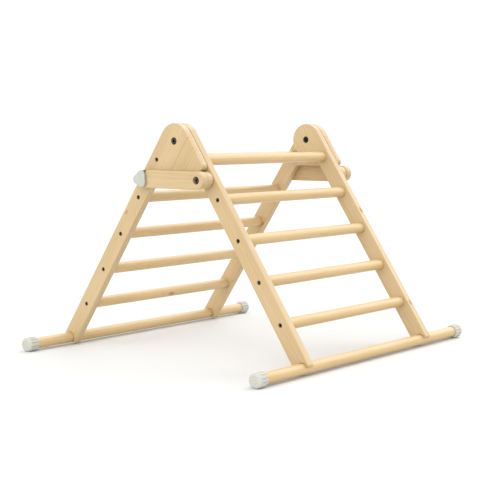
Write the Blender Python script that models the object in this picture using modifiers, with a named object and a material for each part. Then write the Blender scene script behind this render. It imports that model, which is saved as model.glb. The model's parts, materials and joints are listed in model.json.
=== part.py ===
"""Folding climbing triangle of pine for toddlers.

Two ladders lean against each other. They turn on two bolts at the top, and a lock bar on each side
holds them apart. With the knobs loosened the bars swing down and the ladders fold side by side.

X runs from the rear ladder's foot to the front ladder's, Y along the rungs, and Z up from the floor.
"""

import math

import bmesh
import bpy
from mathutils import Matrix, Vector

MM = 0.001

# Driving sizes
LEAN = math.radians(33.5)
RAIL_WIDTH = 44 * MM
RAIL_THICKNESS = 21 * MM
RUNG_DIAMETER = 28 * MM
RUNG_PITCH = 116 * MM
RUNG_COUNT = 5
FIRST_RUNG = 71 * MM
CLEAR_WIDTH = 515.6 * MM
GROUND_BAR_LENGTH = 900 * MM
CAP_DIAMETER = 37 * MM
CAP_LENGTH = 32 * MM
PLATE_DROP = 73.4 * MM
BOLT_DIAMETER = 8 * MM
SCREW_DIAMETER = 5 * MM
KNOB_RADIUS = 22 * MM

# Gaps, recesses and rounding
SEAT_GAP = 0.3 * MM
PIVOT_WASHER = 1 * MM
BAR_GAP = 0.5 * MM
EDGE_ROUND = 1.5 * MM
FOLDED_GAP = 0.5 * MM
SOCKET_DEPTH = 8 * MM
CAP_END = 9 * MM
KNOB_THICKNESS = 8 * MM
RIBS = 12
RUNG_SIDES = 24
HOLE_SIDES = 16
SCREW_SIDES = 8

# Sizes that follow
SIN = math.sin(LEAN)
COS = math.cos(LEAN)
RAIL_IN = FOLDED_GAP
RAIL_MID = RAIL_IN + RAIL_WIDTH / 2
HEAD_RADIUS = RAIL_IN + RAIL_WIDTH
RUNG_RADIUS = RUNG_DIAMETER / 2
BAR_HEIGHT = RAIL_WIDTH + 1 * MM
RUNG_PLACES = [FIRST_RUNG + RUNG_PITCH * i for i in range(RUNG_COUNT)]
GROUND_BAR_PLACE = FIRST_RUNG + RUNG_PITCH * RUNG_COUNT
FOOT_END = GROUND_BAR_PLACE + 4 * MM
LOCK_PLACE = FIRST_RUNG + RUNG_PITCH / 2
CAP_FLAT = CAP_DIAMETER / 2 * math.cos(math.pi / (3 * RIBS))

FRONT_INNER = CLEAR_WIDTH / 2
FRONT_OUTER = FRONT_INNER + RAIL_THICKNESS
REAR_INNER = FRONT_OUTER + PIVOT_WASHER + 2 * SEAT_GAP
REAR_OUTER = REAR_INNER + RAIL_THICKNESS
BAR_INNER = REAR_OUTER + BAR_GAP
BAR_OUTER = BAR_INNER + RAIL_THICKNESS

FRONT = 1
REAR = -1
SIDES = {"near": -1, "far": 1}


def leg(ladder, along, out):
    """Point of a ladder in side view, from the pivot: along the rails and out from their inner edge line."""
    return Vector((ladder * (along * SIN + out * COS), out * SIN - along * COS))


GROUND_DROP = -leg(FRONT, GROUND_BAR_PLACE, RAIL_MID).y
PIVOT_HEIGHT = GROUND_DROP + CAP_FLAT
LOCK_POINT = leg(FRONT, LOCK_PLACE, RAIL_MID)
LOCK_SPAN = 2 * LOCK_POINT.x
FOLD = 2 * LEAN
BAR_SWING = math.pi / 2 + LEAN

for old in list(bpy.data.objects):
    bpy.data.objects.remove(old)
PARTS = bpy.data.collections.new("climbing_triangle")
CUTTERS = bpy.data.collections.new("cutters")
for collection in (PARTS, CUTTERS):
    bpy.context.scene.collection.children.link(collection)
CUTTERS.hide_render = True


def material(name, color, roughness, metallic=0.0):
    made = bpy.data.materials.new(name)
    made.use_nodes = True
    shader = made.node_tree.nodes["Principled BSDF"]
    shader.inputs["Base Color"].default_value = (*color, 1.0)
    shader.inputs["Roughness"].default_value = roughness
    shader.inputs["Metallic"].default_value = metallic
    return made


PINE = material("lacquered_pine", (0.76, 0.58, 0.33), 0.45)
DOWEL = material("pine_dowel", (0.80, 0.62, 0.37), 0.45)
SOFT_GREY = material("grey_soft_plastic", (0.64, 0.65, 0.60), 0.55)
KNOB_GREY = material("grey_knob_plastic", (0.65, 0.66, 0.58), 0.4)
BLACK_STEEL = material("blackened_steel", (0.02, 0.02, 0.022), 0.35, 1.0)
ZINC_STEEL = material("zinc_plated_steel", (0.55, 0.56, 0.58), 0.3, 1.0)
NYLON = material("nylon", (0.75, 0.74, 0.70), 0.5)


def empty(name, location):
    made = bpy.data.objects.new(name, None)
    made.location = location
    made.empty_display_size = 0.05
    PARTS.objects.link(made)
    return made


def finish(name, mesh, look, parent):
    """An object of this mesh, smooth where it is round, measured from its parent's origin."""
    mesh.name = name
    mesh.materials.clear()
    mesh.materials.append(look)
    mesh.shade_smooth()
    mesh.set_sharp_from_angle(angle=math.radians(35))
    made = bpy.data.objects.new(name, mesh)
    made.parent = parent
    PARTS.objects.link(made)
    return made


def evaluated_mesh(made):
    """The mesh of an object with its modifiers or curve settings worked in and loose caps welded."""
    bpy.context.scene.collection.objects.link(made)
    graph = bpy.context.evaluated_depsgraph_get()
    mesh = bpy.data.meshes.new_from_object(made.evaluated_get(graph))
    bpy.data.objects.remove(made)
    work = bmesh.new()
    work.from_mesh(mesh)
    bmesh.ops.remove_doubles(work, verts=work.verts, dist=0.002 * MM)
    bmesh.ops.recalc_face_normals(work, faces=work.faces)
    work.to_mesh(mesh)
    work.free()
    return mesh


def arc(center, radius, start, stop, step=math.radians(18)):
    """Points round a center from one angle to another."""
    count = max(2, math.ceil(abs(stop - start) / step))
    turns = [start + (stop - start) * i / count for i in range(count + 1)]
    return [Vector(center) + radius * Vector((math.cos(turn), math.sin(turn))) for turn in turns]


def rounded(corners, step=math.radians(18)):
    """A closed outline from (point, radius) corners, each rounded to its radius."""
    outline = []
    for i, (corner, radius) in enumerate(corners):
        back = (corners[i - 1][0] - corner).normalized()
        ahead = (corners[(i + 1) % len(corners)][0] - corner).normalized()
        half = back.angle(ahead) / 2
        center = corner + (back + ahead).normalized() * radius / math.sin(half)
        start = corner + back * radius / math.tan(half) - center
        stop = corner + ahead * radius / math.tan(half) - center
        turn = math.atan2(start.x * stop.y - start.y * stop.x, start.dot(stop))
        first = math.atan2(start.y, start.x)
        outline += arc(center, radius, first, first + turn, step)
    return outline


def board(outline, thickness, rounding, resolution=1):
    """Mesh of a flat board, drawn in side view, centred in its thickness, with rounded edges."""
    area = sum(a.x * b.y - a.y * b.x for a, b in zip(outline, outline[1:] + outline[:1]))
    if area < 0:
        outline = outline[::-1]
    curve = bpy.data.curves.new("outline", "CURVE")
    curve.dimensions = "2D"
    curve.fill_mode = "BOTH"
    curve.extrude = thickness / 2 - rounding
    curve.bevel_depth = rounding
    curve.bevel_resolution = resolution
    curve.offset = -rounding
    spline = curve.splines.new("POLY")
    spline.points.add(len(outline) - 1)
    for point, place in zip(spline.points, outline):
        point.co = (place.x, place.y, 0, 1)
    spline.use_cyclic_u = True
    mesh = evaluated_mesh(bpy.data.objects.new("outline", curve))
    mesh.transform(Matrix.Rotation(math.pi / 2, 4, "X"))
    return mesh


def turned(profile, sides, closed=False):
    """Mesh turned about Z from a profile of (radius, height) that runs down its outer side."""
    mesh = bpy.data.meshes.new("profile")
    edges = [(i, i + 1) for i in range(len(profile) - 1)]
    if closed:
        edges.append((len(profile) - 1, 0))
    mesh.from_pydata([(radius, 0, height) for radius, height in profile], edges, [])
    made = bpy.data.objects.new("profile", mesh)
    screw = made.modifiers.new("turn", "SCREW")
    screw.steps = sides
    screw.render_steps = sides
    screw.use_merge_vertices = True
    screw.merge_threshold = 0.00001
    return evaluated_mesh(made)


def outward(side):
    """Turns a piece made along Z so that its top faces out from that side of the frame."""
    return Matrix.Rotation(-side * math.pi / 2, 4, "X")


def along_leg(ladder):
    """Turns a piece made along Z so that its top faces down the leg."""
    return Matrix.Rotation(math.pi - ladder * LEAN, 4, "Y")


def moved(mesh, turn, place):
    made = mesh.copy()
    made.transform(Matrix.Translation(place) @ turn)
    return made


def cut(target, name, meshes):
    """Takes these meshes, placed from the target's parent, out of the target."""
    joined = bmesh.new()
    for mesh in meshes:
        joined.from_mesh(mesh)
    tool = bpy.data.meshes.new(name)
    joined.to_mesh(tool)
    joined.free()
    cutter = bpy.data.objects.new(name, tool)
    cutter.parent = target.parent
    cutter.hide_render = True
    cutter.display_type = "WIRE"
    CUTTERS.objects.link(cutter)
    boolean = target.modifiers.new(name, "BOOLEAN")
    boolean.operation = "DIFFERENCE"
    boolean.solver = "EXACT"
    boolean.object = cutter


def rod_mesh(radius, low, high, sides):
    return turned([(0, high), (radius, high), (radius, low), (0, low)], sides)


def hole(radius, low, high, sides=HOLE_SIDES):
    """A drill whose flats clear a round of this radius."""
    return rod_mesh(radius / math.cos(math.pi / sides), low, high, sides)


def at(point, y):
    return Vector((point.x, y, point.y))


# Heads, shanks and the recesses that take them, along the screw's own axis with its head's seat at 0
SCREW_HEAD = 4.6 * MM
SCREW_HEAD_HEIGHT = 2.6 * MM
SCREW_RECESS = 4 * MM
SCREW_LENGTH = 50 * MM
PIVOT_HEAD = 8.7 * MM
PIVOT_HEAD_HEIGHT = 3 * MM
PIVOT_RECESS = 3.4 * MM
SLEEVE = 5 * MM
LOCK_HEAD = 8 * MM
LOCK_HEAD_HEIGHT = 5 * MM
LOCK_RECESS = 8 * MM
LOCK_BITE = 16 * MM
SHANK = BOLT_DIAMETER / 2


def headed(head, height, shank, length, sides):
    """A headed fastener: the head above 0, a little smaller at its top, and its shank below."""
    profile = [(0, height), (head * 0.9, height), (head, 0), (shank, 0), (shank, -length), (0, -length)]
    return turned(profile, sides)


def recess(head, shank, height, length, sides):
    """The space for a headed fastener with its gaps: its seat lies the gap below 0."""
    wide = (head + SEAT_GAP) / math.cos(math.pi / sides)
    slim = (shank + SEAT_GAP) / math.cos(math.pi / sides)
    seat = -SEAT_GAP
    profile = [(0, height), (wide, height), (wide, seat), (slim, seat), (slim, -length), (0, -length)]
    return turned(profile, sides)


def front_rail_outline():
    """A straight leg whose head is a disc round the pivot, drawn out from the leg's own axes."""
    neck = 8 * MM
    foot = 7 * MM
    neck_along = math.sqrt((HEAD_RADIUS + neck) ** 2 - (neck - RAIL_IN) ** 2)
    neck_turn = math.atan2(neck_along, RAIL_IN - neck)
    points = arc((HEAD_RADIUS - foot, FOOT_END - foot), foot, math.pi / 2, 0)
    points += arc((0, 0), HEAD_RADIUS, 0, neck_turn - 2 * math.pi)
    points += arc((RAIL_IN - neck, neck_along), neck, neck_turn - math.pi, 0)
    points += arc((RAIL_IN + foot, FOOT_END - foot), foot, math.pi, math.pi / 2)
    return [leg(FRONT, along, out) for out, along in points]


def rear_rail_outline():
    """A leg with a triangular head plate whose other side lies along the front leg's outer edge."""
    corner = (PLATE_DROP + HEAD_RADIUS * SIN) / COS
    inner = (PLATE_DROP + RAIL_IN * SIN) / COS
    return rounded(
        [
            (leg(REAR, FOOT_END, HEAD_RADIUS), 7 * MM),
            (Vector((0, HEAD_RADIUS / SIN)), HEAD_RADIUS),
            (leg(FRONT, corner, HEAD_RADIUS), 12 * MM),
            (leg(REAR, inner, RAIL_IN), 10 * MM),
            (leg(REAR, FOOT_END, RAIL_IN), 7 * MM),
        ]
    )


def stud_in_bar(fold):
    """Where the knob's stud lies from the lock bar's bolt, on the bar's own axes, at this fold."""
    stud = Matrix.Rotation(fold, 2) @ Vector((-LOCK_POINT.x, LOCK_POINT.y))
    return Matrix.Rotation(-fold * BAR_SWING / FOLD, 2) @ (stud - LOCK_POINT)


def slot_outline():
    """The way that the stud takes out of the bar's end as the bar drops: a slot with a round seat."""
    half = SHANK + 2 * SEAT_GAP
    folds = [math.radians(1.5) * i for i in range(8)]
    path = [stud_in_bar(fold) for fold in folds]
    steps = [(b - a).normalized() for a, b in zip(path, path[1:])]
    steps.append(steps[-1])
    lefts = [point + half * Vector((-step.y, step.x)) for point, step in zip(path, steps)]
    rights = [point - half * Vector((-step.y, step.x)) for point, step in zip(path, steps)]
    start = math.atan2(steps[0].x, -steps[0].y)
    seat = arc(path[0], half, start, start + math.pi)
    return lefts[:0:-1] + seat + rights[1:]


def bar_outline():
    end = BAR_HEIGHT / 2
    tail = arc((-LOCK_SPAN, 0), end, math.pi / 2, 3 * math.pi / 2)
    return tail + arc((0, 0), end, -math.pi / 2, math.pi / 2)


def knob_outline():
    """Three lobes, one of them up and to the right, with slightly hollow sides between them."""
    hollow = KNOB_RADIUS * 0.76
    mean = (KNOB_RADIUS + hollow) / 2
    swell = (KNOB_RADIUS - hollow) / 2
    count = 30
    outline = []
    for i in range(count):
        turn = 2 * math.pi * i / count
        reach = mean + swell * math.cos(3 * (turn - math.radians(66)))
        outline.append(reach * Vector((math.cos(turn), math.sin(turn))))
    return outline


def cap_mesh():
    """A soft end cap made along Z, mouth down: its ribbed skirt runs into a smooth domed end."""
    radius = CAP_DIAMETER / 2
    bore = RUNG_RADIUS + SEAT_GAP
    skirt = CAP_LENGTH * 0.7
    groove = 1.4 * MM
    count = 3 * RIBS
    rings = [
        (radius * 0.5, CAP_LENGTH, 0),
        (radius - 4.5 * MM, CAP_LENGTH - 1 * MM, 0),
        (radius - 1.2 * MM, CAP_LENGTH - 4.2 * MM, 0),
        (radius, skirt + 3 * MM, 0),
        (radius, skirt, groove),
        (radius, 0, groove),
        (bore, 0, 0),
        (bore, CAP_LENGTH - CAP_END, 0),
    ]
    made = bmesh.new()
    loops = []
    for reach, height, dip in rings:
        loop = []
        for i in range(count):
            turn = 2 * math.pi * (i - 0.5) / count
            size = reach - dip if i % 3 == 2 else reach
            loop.append(made.verts.new((size * math.cos(turn), size * math.sin(turn), height)))
        loops.append(loop)
    for upper, lower in zip(loops, loops[1:]):
        for i in range(count):
            made.faces.new((upper[i - 1], lower[i - 1], lower[i], upper[i]))
    made.faces.new(loops[0])
    made.faces.new(loops[-1][::-1])
    mesh = bpy.data.meshes.new("cap")
    made.to_mesh(mesh)
    made.free()
    return mesh


FRONT_LADDER = empty("front_ladder", (0, 0, PIVOT_HEIGHT))
REAR_LADDER = empty("rear_ladder", (0, 0, PIVOT_HEIGHT))
ladders = {
    "front": (FRONT, FRONT_INNER, FRONT_OUTER, front_rail_outline, FRONT_LADDER),
    "rear": (REAR, REAR_INNER, REAR_OUTER, rear_rail_outline, REAR_LADDER),
}

cap = cap_mesh()
screw = headed(SCREW_HEAD, SCREW_HEAD_HEIGHT, SCREW_DIAMETER / 2, SCREW_LENGTH, SCREW_SIDES)
screw_depth = SCREW_LENGTH + SEAT_GAP
screw_space = recess(SCREW_HEAD, SCREW_DIAMETER / 2, SCREW_RECESS + 2 * MM, screw_depth, SCREW_SIDES)
foot_reach = RUNG_RADIUS - SCREW_RECESS
socket = hole(RUNG_RADIUS + SEAT_GAP, -2 * MM, SOCKET_DEPTH)
saddle = hole(RUNG_RADIUS + SEAT_GAP, -2 * RAIL_THICKNESS, 2 * RAIL_THICKNESS, RUNG_SIDES)

rails = {}
for name, (ladder, inner, outer, outline, parent) in ladders.items():
    rung_length = 2 * (inner + SOCKET_DEPTH - SEAT_GAP)
    rung = rod_mesh(RUNG_RADIUS, -rung_length / 2, rung_length / 2, RUNG_SIDES)
    rung.transform(outward(1))
    foot_center = leg(ladder, GROUND_BAR_PLACE, RAIL_MID)
    foot_seat = leg(ladder, GROUND_BAR_PLACE + foot_reach, RAIL_MID)

    for side_name, side in SIDES.items():
        rail_y = side * (inner + outer) / 2
        rail = finish(
            f"{name}_rail_{side_name}",
            board(outline(), RAIL_THICKNESS, EDGE_ROUND),
            PINE,
            parent,
        )
        rail.data.transform(Matrix.Translation((0, rail_y, 0)))
        rails[name, side_name] = rail
        places = [leg(ladder, along, RAIL_MID) for along in RUNG_PLACES]
        head_seat = side * (outer - SCREW_RECESS)
        sockets = [moved(socket, outward(side), at(p, side * inner)) for p in places]
        cut(rail, f"{name}_sockets_{side_name}", sockets)
        spaces = [moved(screw_space, outward(side), at(p, head_seat)) for p in places]
        spaces.append(moved(screw_space, along_leg(ladder), at(foot_seat, rail_y)))
        cut(rail, f"{name}_screw_holes_{side_name}", spaces)
        cut(rail, f"{name}_saddle_{side_name}", [moved(saddle, outward(side), at(foot_center, rail_y))])
        for i, p in enumerate(places):
            finish(
                f"{name}_rung_screw_{side_name}_{i + 1}",
                moved(screw, outward(side), at(p, head_seat)),
                BLACK_STEEL,
                parent,
            )
        finish(
            f"{name}_foot_screw_{side_name}",
            moved(screw, along_leg(ladder), at(foot_seat, rail_y)),
            ZINC_STEEL,
            parent,
        )

    for i, along in enumerate(RUNG_PLACES):
        place = at(leg(ladder, along, RAIL_MID), 0)
        made = finish(f"{name}_rung_{i + 1}", moved(rung, Matrix(), place), DOWEL, parent)
        bores = [
            moved(screw_space, outward(side), place + Vector((0, side * (outer - SCREW_RECESS), 0)))
            for side in SIDES.values()
        ]
        cut(made, f"{name}_rung_{i + 1}_bores", bores)

    bar = rod_mesh(RUNG_RADIUS, -GROUND_BAR_LENGTH / 2, GROUND_BAR_LENGTH / 2, RUNG_SIDES)
    bar_made = finish(f"{name}_ground_bar", moved(bar, outward(1), at(foot_center, 0)), DOWEL, parent)
    bores = [
        moved(screw_space, along_leg(ladder), at(foot_seat, side * (inner + outer) / 2))
        for side in SIDES.values()
    ]
    cut(bar_made, f"{name}_ground_bar_bores", bores)
    for side_name, side in SIDES.items():
        mouth = side * (GROUND_BAR_LENGTH / 2 - CAP_LENGTH + CAP_END + SEAT_GAP)
        cap_made = moved(cap, outward(side), at(foot_center, mouth))
        finish(f"{name}_cap_{side_name}", cap_made, SOFT_GREY, parent)

# The pivots: a bolt from outside runs into a sleeve nut from inside, with a washer between the rails
sleeve_length = 2 * RAIL_THICKNESS + PIVOT_WASHER + 2 * SEAT_GAP - 2 * PIVOT_RECESS - 2 * MM
pivot_thread = 3 * MM
pivot_bolt = headed(PIVOT_HEAD, PIVOT_HEAD_HEIGHT, pivot_thread, 24 * MM, HOLE_SIDES)
nut_bore = (pivot_thread + SEAT_GAP) / math.cos(math.pi / HOLE_SIDES)
sleeve_nut = turned(
    [
        (0, PIVOT_HEAD_HEIGHT),
        (PIVOT_HEAD * 0.9, PIVOT_HEAD_HEIGHT),
        (PIVOT_HEAD, 0),
        (SLEEVE, 0),
        (SLEEVE, -sleeve_length),
        (nut_bore, -sleeve_length),
        (nut_bore, -2 * MM),
        (0, -2 * MM),
    ],
    HOLE_SIDES,
)
pivot_space = recess(PIVOT_HEAD, SLEEVE, PIVOT_RECESS + 2 * MM, 2 * RAIL_THICKNESS, HOLE_SIDES)
washer_hole = (SLEEVE + SEAT_GAP) / math.cos(math.pi / HOLE_SIDES)
washer_rim = 12 * MM
pivot_washer = turned(
    [
        (washer_hole, PIVOT_WASHER / 2),
        (washer_rim, PIVOT_WASHER / 2),
        (washer_rim, -PIVOT_WASHER / 2),
        (washer_hole, -PIVOT_WASHER / 2),
    ],
    HOLE_SIDES,
    closed=True,
)

# The lock bars: each turns on a bolt in the front rail, over a wooden spacer, and hooks on a stud
bar_mesh = board(bar_outline(), RAIL_THICKNESS, EDGE_ROUND)
slot = board(slot_outline(), 2 * RAIL_THICKNESS, 0, 0)
spacer_thickness = BAR_INNER - FRONT_OUTER - 2 * SEAT_GAP
spacer_hole = (SHANK + SEAT_GAP) / math.cos(math.pi / HOLE_SIDES)
spacer_rim = BAR_HEIGHT / 2 - 1.5 * MM
spacer_edge = EDGE_ROUND
lock_spacer = turned(
    [
        (spacer_hole, spacer_thickness / 2),
        (spacer_rim - spacer_edge, spacer_thickness / 2),
        (spacer_rim, spacer_thickness / 2 - spacer_edge),
        (spacer_rim, spacer_edge - spacer_thickness / 2),
        (spacer_rim - spacer_edge, -spacer_thickness / 2),
        (spacer_hole, -spacer_thickness / 2),
    ],
    RUNG_SIDES,
    closed=True,
)
lock_length = RAIL_THICKNESS - LOCK_RECESS + BAR_INNER - FRONT_OUTER + LOCK_BITE
lock_bolt = headed(LOCK_HEAD, LOCK_HEAD_HEIGHT, SHANK, lock_length, HOLE_SIDES)
lock_space = recess(LOCK_HEAD + 1.5 * MM, SHANK, LOCK_RECESS + 2 * MM, lock_length + SEAT_GAP, HOLE_SIDES)

# The knobs: each turns on a stud set in the rear rail, and its foot lies on the bar
knob_seat = BAR_OUTER + SEAT_GAP
stud_reach = KNOB_THICKNESS * 0.6
stud_length = LOCK_BITE + BAR_GAP + RAIL_THICKNESS + SEAT_GAP + stud_reach
knob_stud = rod_mesh(SHANK, -stud_length, 0, HOLE_SIDES)
stud_space = hole(SHANK + SEAT_GAP, -stud_length - SEAT_GAP, SEAT_GAP)
knob_body = board(knob_outline(), KNOB_THICKNESS, 2 * MM)

for side_name, side in SIDES.items():
    front_rail = rails["front", side_name]
    rear_rail = rails["rear", side_name]
    bolt_seat = Vector((0, side * (REAR_OUTER - PIVOT_RECESS), 0))
    nut_seat = Vector((0, side * (FRONT_INNER + PIVOT_RECESS), 0))
    cut(rear_rail, f"pivot_bolt_hole_{side_name}", [moved(pivot_space, outward(side), bolt_seat)])
    cut(front_rail, f"pivot_nut_hole_{side_name}", [moved(pivot_space, outward(-side), nut_seat)])
    finish(f"pivot_bolt_{side_name}", moved(pivot_bolt, outward(side), bolt_seat), BLACK_STEEL, REAR_LADDER)
    finish(f"pivot_nut_{side_name}", moved(sleeve_nut, outward(-side), nut_seat), BLACK_STEEL, REAR_LADDER)
    between = Vector((0, side * (FRONT_OUTER + REAR_INNER) / 2, 0))
    finish(f"pivot_washer_{side_name}", moved(pivot_washer, outward(side), between), NYLON, REAR_LADDER)

    lock_axis = empty(f"lock_bar_axis_{side_name}", at(LOCK_POINT, 0))
    lock_axis.parent = FRONT_LADDER
    seat = Vector((0, side * (BAR_OUTER - LOCK_RECESS), 0))
    bar = finish(
        f"lock_bar_{side_name}",
        moved(bar_mesh, Matrix(), Vector((0, side * (BAR_INNER + BAR_OUTER) / 2, 0))),
        PINE,
        lock_axis,
    )
    cut(bar, f"lock_bar_hole_{side_name}", [moved(lock_space, outward(side), seat)])
    cut(bar, f"lock_bar_slot_{side_name}", [moved(slot, Matrix(), Vector((0, side * BAR_OUTER, 0)))])
    spacer_y = side * (FRONT_OUTER + BAR_INNER) / 2
    finish(
        f"lock_spacer_{side_name}",
        moved(lock_spacer, outward(side), Vector((0, spacer_y, 0))),
        PINE,
        lock_axis,
    )
    bolt_place = at(LOCK_POINT, side * (BAR_OUTER - LOCK_RECESS))
    finish(f"lock_bolt_{side_name}", moved(lock_bolt, outward(side), bolt_place), BLACK_STEEL, FRONT_LADDER)
    cut(front_rail, f"lock_bolt_hole_{side_name}", [moved(lock_space, outward(side), bolt_place)])

    stud_point = Vector((-LOCK_POINT.x, LOCK_POINT.y))
    stud_place = at(stud_point, side * (knob_seat + stud_reach))
    finish(f"knob_stud_{side_name}", moved(knob_stud, outward(side), stud_place), ZINC_STEEL, REAR_LADDER)
    cut(rear_rail, f"knob_stud_hole_{side_name}", [moved(stud_space, outward(side), stud_place)])
    knob_axis = empty(f"knob_axis_{side_name}", at(stud_point, 0))
    knob_axis.parent = REAR_LADDER
    knob = finish(
        f"knob_{side_name}",
        moved(knob_body, Matrix(), Vector((0, side * (knob_seat + KNOB_THICKNESS / 2), 0))),
        KNOB_GREY,
        knob_axis,
    )
    bore_place = Vector((0, side * (knob_seat + stud_reach), 0))
    cut(knob, f"knob_bore_{side_name}", [moved(stud_space, outward(side), bore_place)])
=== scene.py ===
"""Looks of a folding climbing triangle for toddlers, built on its CAD frame.

Planed pine boards, turned pine rungs, soft ribbed end caps, moulded knobs and blackened screws take
the place of the frame's plain solids. Fasteners that are hidden in the wood keep the frame's shapes.
"""

import json
import math

import bmesh
import bpy
from mathutils import Matrix, Vector


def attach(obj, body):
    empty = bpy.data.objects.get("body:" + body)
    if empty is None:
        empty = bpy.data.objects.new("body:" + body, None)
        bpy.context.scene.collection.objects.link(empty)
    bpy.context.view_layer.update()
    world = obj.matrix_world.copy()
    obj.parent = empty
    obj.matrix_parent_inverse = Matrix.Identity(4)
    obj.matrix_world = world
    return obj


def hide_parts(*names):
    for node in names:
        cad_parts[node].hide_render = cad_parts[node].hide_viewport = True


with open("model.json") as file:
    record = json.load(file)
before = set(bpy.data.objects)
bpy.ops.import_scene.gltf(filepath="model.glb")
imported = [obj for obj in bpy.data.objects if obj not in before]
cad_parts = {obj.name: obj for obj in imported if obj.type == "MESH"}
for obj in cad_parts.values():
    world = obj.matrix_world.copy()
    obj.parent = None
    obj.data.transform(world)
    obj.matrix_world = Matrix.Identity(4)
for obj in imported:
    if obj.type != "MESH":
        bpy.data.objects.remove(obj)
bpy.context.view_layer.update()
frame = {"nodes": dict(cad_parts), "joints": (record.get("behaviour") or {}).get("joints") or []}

MM = 0.001

# The frame's own sizes
LEAN = math.radians(33.5)
SIN = math.sin(LEAN)
COS = math.cos(LEAN)
RAIL_WIDTH = 44 * MM
BOARD = 21 * MM
RAIL_IN = 0.5 * MM
RAIL_MID = RAIL_IN + RAIL_WIDTH / 2
HEAD_RADIUS = RAIL_IN + RAIL_WIDTH
RUNG_RADIUS = 14 * MM
RUNG_PITCH = 116 * MM
RUNG_COUNT = 5
FIRST_RUNG = 71 * MM
GROUND_BAR_PLACE = FIRST_RUNG + RUNG_PITCH * RUNG_COUNT
GROUND_BAR_LENGTH = 900 * MM
FOOT_END = GROUND_BAR_PLACE + 4 * MM
LOCK_PLACE = FIRST_RUNG + RUNG_PITCH / 2
BAR_HEIGHT = RAIL_WIDTH + 1 * MM
PLATE_DROP = 73.4 * MM
SOCKET_DEPTH = 8 * MM
SEAT_GAP = 0.3 * MM
SCREW_RECESS = 4 * MM
PIVOT_RECESS = 3.4 * MM
LOCK_RECESS = 8 * MM
CAP_RADIUS = 18.5 * MM
CAP_LENGTH = 32 * MM
CAP_END = 9 * MM
KNOB_RADIUS = 22 * MM
KNOB_THICKNESS = 8 * MM
EDGE_ROUND = 1.5 * MM
SADDLE_EASE = 1.6 * MM
FOOT_ROUND = 4 * MM
BAR_ROUND = 2.6 * MM
SPACER_ROUND = 3 * MM
STUD_RADIUS = 4 * MM
PLATE_JOINT = -35 * MM
GLUE_WIDTH = 2.5 * MM
GLUE_WARMTH = 0.9
CAP_RIBS = 12.0
RIB_DEPTH = 2.3 * MM

# The layers of one side, out from the middle
FRONT_INNER = 257.8 * MM
FRONT_OUTER = FRONT_INNER + BOARD
REAR_INNER = FRONT_OUTER + 1.6 * MM
REAR_OUTER = REAR_INNER + BOARD
BAR_INNER = REAR_OUTER + 0.5 * MM
BAR_OUTER = BAR_INNER + BOARD
KNOB_SEAT = BAR_OUTER + SEAT_GAP

FRONT = 1
REAR = -1
SIDES = {"near": -1, "far": 1}


def leg(ladder, along, out):
    """Point of a ladder in side view, from the pivot: along the rails and out from their inner edge line."""
    return Vector((ladder * (along * SIN + out * COS), out * SIN - along * COS))


JOINTS = {joint["name"]: joint for joint in frame["joints"]}
PIVOT = Vector(JOINTS["fold"]["pos_m"])
LOCK_POINT = leg(FRONT, LOCK_PLACE, RAIL_MID)
LOCK_SPAN = 2 * LOCK_POINT.x
FOLD = 2 * LEAN
BAR_SWING = math.pi / 2 + LEAN


def at(point, y):
    """A side-view point, measured from the pivot, as a place in the room."""
    return PIVOT + Vector((point.x, y, point.y))


# Meshes


def baked(made):
    """The plain mesh of an object with its modifiers or curve settings worked in."""
    bpy.context.scene.collection.objects.link(made)
    graph = bpy.context.evaluated_depsgraph_get()
    mesh = bpy.data.meshes.new_from_object(made.evaluated_get(graph))
    bpy.data.objects.remove(made)
    return mesh


def merged(mesh):
    """The mesh with its seams closed and its faces pointing outwards."""
    work = bmesh.new()
    work.from_mesh(mesh)
    bmesh.ops.remove_doubles(work, verts=work.verts, dist=0.002 * MM)
    bmesh.ops.recalc_face_normals(work, faces=work.faces)
    work.to_mesh(mesh)
    work.free()
    return mesh


def arc(center, radius, start, stop, step=math.radians(4)):
    """Points round a center from one angle to another."""
    count = max(2, math.ceil(abs(stop - start) / step))
    turns = [start + (stop - start) * i / count for i in range(count + 1)]
    return [Vector(center) + radius * Vector((math.cos(turn), math.sin(turn))) for turn in turns]


def rounded(corners):
    """A closed outline from (point, radius) corners, each rounded to its radius."""
    outline = []
    for i, (corner, radius) in enumerate(corners):
        back = (corners[i - 1][0] - corner).normalized()
        ahead = (corners[(i + 1) % len(corners)][0] - corner).normalized()
        half = back.angle(ahead) / 2
        center = corner + (back + ahead).normalized() * radius / math.sin(half)
        start = corner + back * radius / math.tan(half) - center
        stop = corner + ahead * radius / math.tan(half) - center
        turn = math.atan2(start.x * stop.y - start.y * stop.x, start.dot(stop))
        first = math.atan2(start.y, start.x)
        outline += arc(center, radius, first, first + turn)
    return outline


def board(outline, thickness, rounding, resolution=4):
    """A board drawn in side view, centred in its thickness, with its edges rounded over."""
    area = sum(a.x * b.y - a.y * b.x for a, b in zip(outline, outline[1:] + outline[:1]))
    if area < 0:
        outline = outline[::-1]
    curve = bpy.data.curves.new("outline", "CURVE")
    curve.dimensions = "2D"
    curve.fill_mode = "BOTH"
    curve.extrude = thickness / 2 - rounding
    curve.bevel_depth = rounding
    curve.bevel_resolution = resolution
    curve.offset = -rounding
    spline = curve.splines.new("POLY")
    spline.points.add(len(outline) - 1)
    for point, place in zip(spline.points, outline):
        point.co = (place.x, place.y, 0, 1)
    spline.use_cyclic_u = True
    mesh = merged(baked(bpy.data.objects.new("outline", curve)))
    mesh.transform(Matrix.Rotation(math.pi / 2, 4, "X"))
    return mesh


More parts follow.
